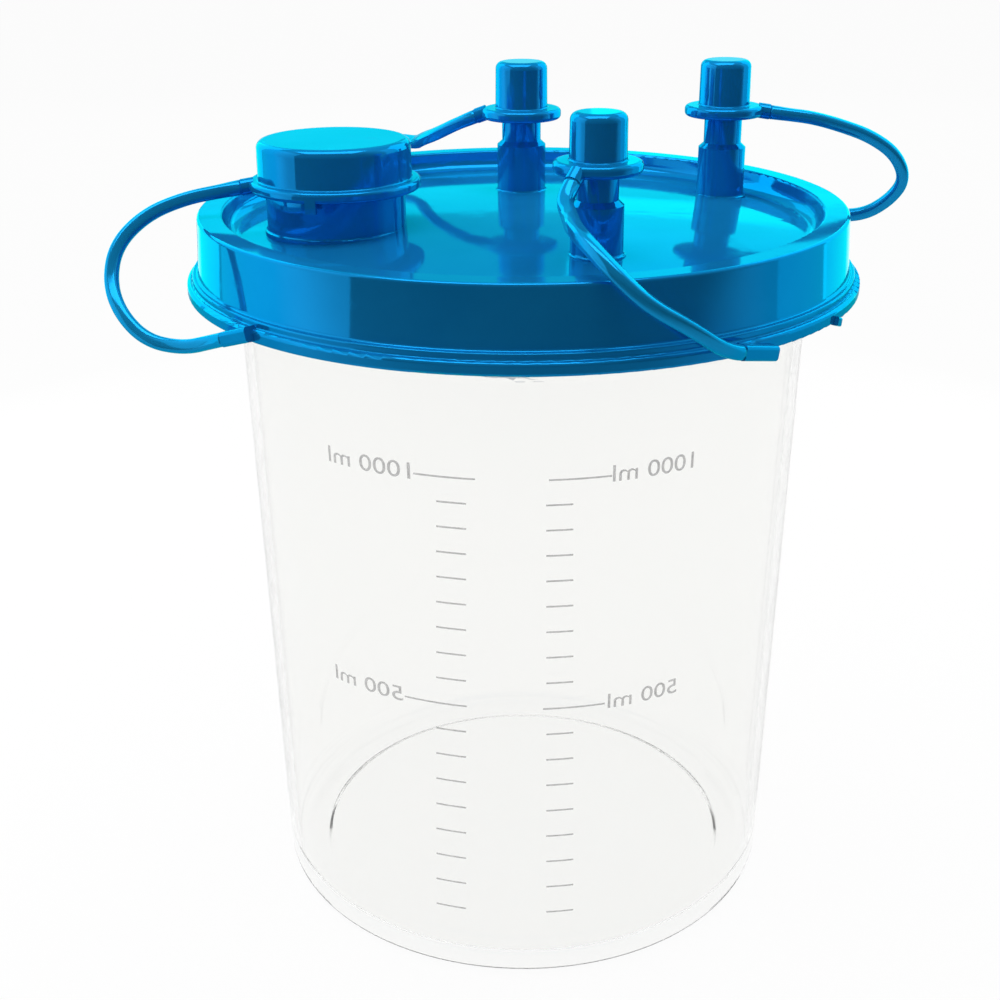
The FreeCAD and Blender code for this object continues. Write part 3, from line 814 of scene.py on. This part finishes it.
class Lid:
    """The blue lid with its caps and tethers."""

    CAPS = ("pour_spout_cap", "vacuum_port_cap", "patient_port_cap", "tandem_port_cap")
    TETHERS = (
        Tether("pour_cap_tether", "pour_cap", length=65.3 * MM, route=(
            (-0.0524, -0.0119, 0.1495), (-0.0563, -0.0126, 0.1489), (-0.0627, -0.0149, 0.1480),
            (-0.0693, -0.0181, 0.1457), (-0.0741, -0.0225, 0.1412), (-0.0748, -0.0269, 0.1355),
            (-0.0723, -0.0314, 0.1308), (-0.0672, -0.0348, 0.1267), (-0.0601, -0.0372, 0.1260),
            (-0.0542, -0.0394, 0.1279), (-0.0514, -0.0420, 0.1292),
        ), still_height=0.131, moving_height=0.147),
        Tether("vacuum_cap_tether", "vacuum_cap", length=63.4 * MM, route=(
            (-0.0095, 0.0253, 0.1568), (-0.0132, 0.0258, 0.1554), (-0.0184, 0.0310, 0.1522),
            (-0.0217, 0.0387, 0.1500), (-0.0236, 0.0470, 0.1478), (-0.0283, 0.0543, 0.1473),
            (-0.0341, 0.0584, 0.1444), (-0.0389, 0.0582, 0.1386), (-0.0421, 0.0551, 0.1331),
            (-0.0435, 0.0516, 0.1318),
        ), still_height=0.1335, moving_height=0.1545),
        Tether("patient_cap_tether", "patient_cap", length=56.3 * MM, route=(
            (0.0084, -0.0391, 0.1553), (0.0067, -0.0418, 0.1529), (0.0078, -0.0463, 0.1512),
            (0.0081, -0.0524, 0.1508), (0.0101, -0.0585, 0.1496), (0.0145, -0.0631, 0.1458),
            (0.0196, -0.0648, 0.1413), (0.0264, -0.0633, 0.1372), (0.0327, -0.0595, 0.1321),
            (0.0354, -0.0568, 0.1312),
        ), still_height=0.133, moving_height=0.1538),
        Tether("tandem_cap_tether", "tandem_cap", length=56.5 * MM, route=(
            (0.0509, 0.0237, 0.1576), (0.0548, 0.0235, 0.1571), (0.0598, 0.0233, 0.1565),
            (0.0658, 0.0229, 0.1549), (0.0718, 0.0224, 0.1528), (0.0772, 0.0222, 0.1492),
            (0.0798, 0.0228, 0.1440), (0.0775, 0.0248, 0.1393), (0.0726, 0.0268, 0.1356),
            (0.0657, 0.0289, 0.1352), (0.0622, 0.0294, 0.1333),
        ), still_height=0.135, moving_height=0.1555),
    )
    BLUE = (0.008, 0.27, 0.64)
    DEEP_BLUE = (0.006, 0.245, 0.60)

    def __init__(self) -> None:
        """Make the lid's finishes."""
        self.shell = GlossMoulding("lid_gloss_blue", self.BLUE, self.DEEP_BLUE).make()
        self.cap = GlossMoulding(
            "cap_gloss_blue", self.BLUE, self.DEEP_BLUE,
            ripples=Pattern(0.005, 1.0, 0.4), ripple_depth=0.00001,
        ).make()
        # Painted light: the strap's two blues are lighter copies of the lid's blue, and they stand in for
        # the light on the strap.
        self.strap = GlossMoulding(
            "strap_gloss_blue_painted_light", (0.010, 0.33, 0.70), (0.008, 0.30, 0.66),
            roughness=0.09, rubbed_roughness=0.2, ripples=Pattern(0.003, 1.0, 0.4), ripple_depth=0.000008,
        ).make()
        self.rubber = SatinMoulding(
            "seal_rubber_white", (0.74, 0.76, 0.76), (0.68, 0.70, 0.70), roughness=0.6,
        ).make()

    def build(self) -> None:
        """Dress the lid, its caps and its seal, and mould the tethers."""
        dress("lid", self.shell)
        for cap in self.CAPS:
            dress(cap, self.cap)
        dress("lid_seal", self.rubber)
        for tether in self.TETHERS:
            tether.build(self.strap)


class FloatValve:
    """The shut-off valve under the vacuum port: cage, float and seat."""

    def __init__(self) -> None:
        """Make the valve's finishes."""
        self.cage = SatinMoulding(
            "cage_satin_white", (0.80, 0.81, 0.81), (0.75, 0.76, 0.77), roughness=0.38,
        ).make()
        self.float = SatinMoulding(
            "float_satin_white", (0.84, 0.85, 0.85), (0.80, 0.81, 0.82),
            roughness=0.32, clouds=Pattern(0.005, 3.0),
        ).make()
        self.seat = SatinMoulding(
            "seat_rubber_white", (0.66, 0.68, 0.69), (0.60, 0.62, 0.63), roughness=0.65,
        ).make()

    def build(self) -> None:
        """Dress the three pieces."""
        dress("float_cage", self.cage)
        dress("shutoff_float", self.float)
        dress("valve_seat", self.seat)


class Jar:
    """The clear jar with its printed scale."""

    def __init__(self) -> None:
        """Make the jar's finishes."""
        self.wall = ClearMoulding("jar_clear_plastic", (0.975, 0.975, 0.965), (0.86, 0.90, 0.91)).make()
        self.ink = ScreenInk("scale_grey_ink", (0.40, 0.40, 0.41), (0.50, 0.50, 0.51)).make()

    def build(self) -> None:
        """Dress the jar and print its scale."""
        dress("jar", self.wall)
        VolumeScale().build(self.ink)


@dataclass(frozen=True)
class Panel:
    """A soft rectangular lamp, whose radiance is that of its own surface."""

    name: str
    place: Point
    aim: Point
    width: float
    height: float
    radiance: float

    def make(self) -> None:
        """Hang the lamp, which shows in reflections but not straight on or through the jar."""
        lamp = bpy.data.lights.new(self.name, "AREA")
        lamp.shape = "RECTANGLE"
        lamp.size = self.width
        lamp.size_y = self.height
        lamp.energy = self.radiance * math.pi * self.width * self.height
        carrier = stand(self.name, lamp)
        carrier.location = self.place
        carrier.visible_camera = False
        carrier.visible_transmission = False
        way = Vector(self.aim) - Vector(self.place)
        carrier.rotation_euler = way.to_track_quat("-Z", "Y").to_euler()
        LOG.info("%s: %.2f by %.2f m", self.name, self.width, self.height)


@dataclass(frozen=True)
class Studio:
    """White surroundings, soft panels and the photograph's camera.

    Mirrored rays see the white at the back and only dim surroundings in front. That changes between
    the two depths of dark_front for their direction, and of dark_floor for their place on the floor.
    """

    floor_size: float = 8.0
    floor_drop: float = 0.3 * MM
    floor_glow: float = 0.96
    floor_colour: Colour = (0.9, 0.9, 0.9)
    bounce_colour: Colour = (0.45, 0.45, 0.45)
    white: Colour = (1.0, 1.0, 1.0)
    fill: float = 0.22
    dark_front: Range = (-0.6, 0.2)
    dark_floor: Range = (-0.5, -0.1)
    camera_place: Point = (0.0, -0.2875, 0.2032)
    camera_pitch: float = 23.03
    camera_turn: float = 0.87
    camera_near: float = 0.01
    focal_length: float = 53.12
    sensor_width: float = 36.0

    PANELS: ClassVar[tuple[Panel, ...]] = (
        Panel("left_panel", (-0.255, 0.255, 0.27), (0.0, 0.0, 0.25), 0.22, 0.46, 2.2),
        Panel("left_side_panel", (-0.355, -0.035, 0.27), (0.0, -0.03, 0.25), 0.45, 0.46, 0.9),
        Panel("right_panel", (0.250, 0.259, 0.27), (0.0, 0.0, 0.25), 0.28, 0.46, 1.9),
        Panel("right_side_panel", (0.345, 0.075, 0.27), (0.0, 0.0, 0.25), 0.20, 0.46, 0.5),
        Panel("back_left_panel", (-0.32, 1.0, 0.48), (0.0, 0.0, 0.15), 0.36, 0.24, 1.3),
        Panel("back_right_panel", (0.22, 1.0, 0.45), (0.0, 0.0, 0.15), 0.34, 0.30, 1.3),
        Panel("low_back_panel", (0.0, 1.2, 0.29), (0.0, 0.0, 0.15), 1.2, 0.22, 1.0),
        Panel("overhead_panel", (-0.06, -0.10, 0.9), (0.0, -0.10, 0.14), 0.46, 0.78, 3.0),
    )

    def lay_floor(self) -> None:
        """Lay the pale floor, which shows white but keeps the object's shadow."""
        graph, material = Graph.of_material("pale_floor")
        lit = graph.add("ShaderNodeBsdfDiffuse", None, {"Color": self.floor_colour})
        glow = graph.add("ShaderNodeEmission", None, {"Color": self.white, "Strength": 1.0})
        shown = graph.choose(self.floor_glow, lit, glow)
        bounce = graph.add("ShaderNodeBsdfDiffuse", None, {"Color": self.bounce_colour})
        mirrored = graph.between(graph.depth_of("Object"), *self.dark_floor)
        graph.finish(graph.choose(graph.background_share(mirrored), bounce, shown))
        mesh = bmesh.new()
        bmesh.ops.create_grid(mesh, x_segments=1, y_segments=1, size=self.floor_size / 2)
        floor = settle("floor", mesh, material)
        floor.location.z = -self.floor_drop
        LOG.info("floor: %s", material.name)

    def light_world(self) -> None:
        """Surround the object with white that lights it only a little."""
        world = bpy.data.worlds.new("white_surroundings")
        world.use_nodes = True
        bpy.context.scene.world = world
        graph = Graph(world.node_tree, Output.WORLD)
        dim = graph.add("ShaderNodeBackground", None, {"Color": self.white, "Strength": self.fill})
        bright = graph.add("ShaderNodeBackground", None, {"Color": self.white, "Strength": 1.0})
        mirrored = graph.between(graph.depth_of("Generated"), *self.dark_front)
        graph.finish(graph.choose(graph.background_share(mirrored), dim, bright))
        LOG.info("world: %s", world.name)

    def place_camera(self) -> None:
        """Stand the camera where the photograph was taken from."""
        data = bpy.data.cameras.new("camera")
        data.sensor_width = self.sensor_width
        data.lens = self.focal_length
        data.clip_start = self.camera_near
        camera = stand("camera", data)
        down = Matrix.Rotation(math.radians(90 - self.camera_pitch), 4, "X")
        turn = Matrix.Rotation(math.radians(self.camera_turn), 4, "Y")
        camera.matrix_world = Matrix.Translation(self.camera_place) @ down @ turn
        bpy.context.scene.camera = camera
        LOG.info("camera: %.1f mm lens", self.focal_length)

    def build(self) -> None:
        """Set the whole stage."""
        self.lay_floor()
        self.light_world()
        for panel in self.PANELS:
            panel.make()
        self.place_camera()
        bpy.context.scene.view_settings.view_transform = "Standard"


def main() -> None:
    """Set the stage, then build and dress each sub-assembly."""
    logging.basicConfig(level=logging.INFO, format="%(message)s")
    Studio().build()
    for assembly in (Jar(), Lid(), FloatValve()):
        assembly.build()


if __name__ == "__main__":
    main()
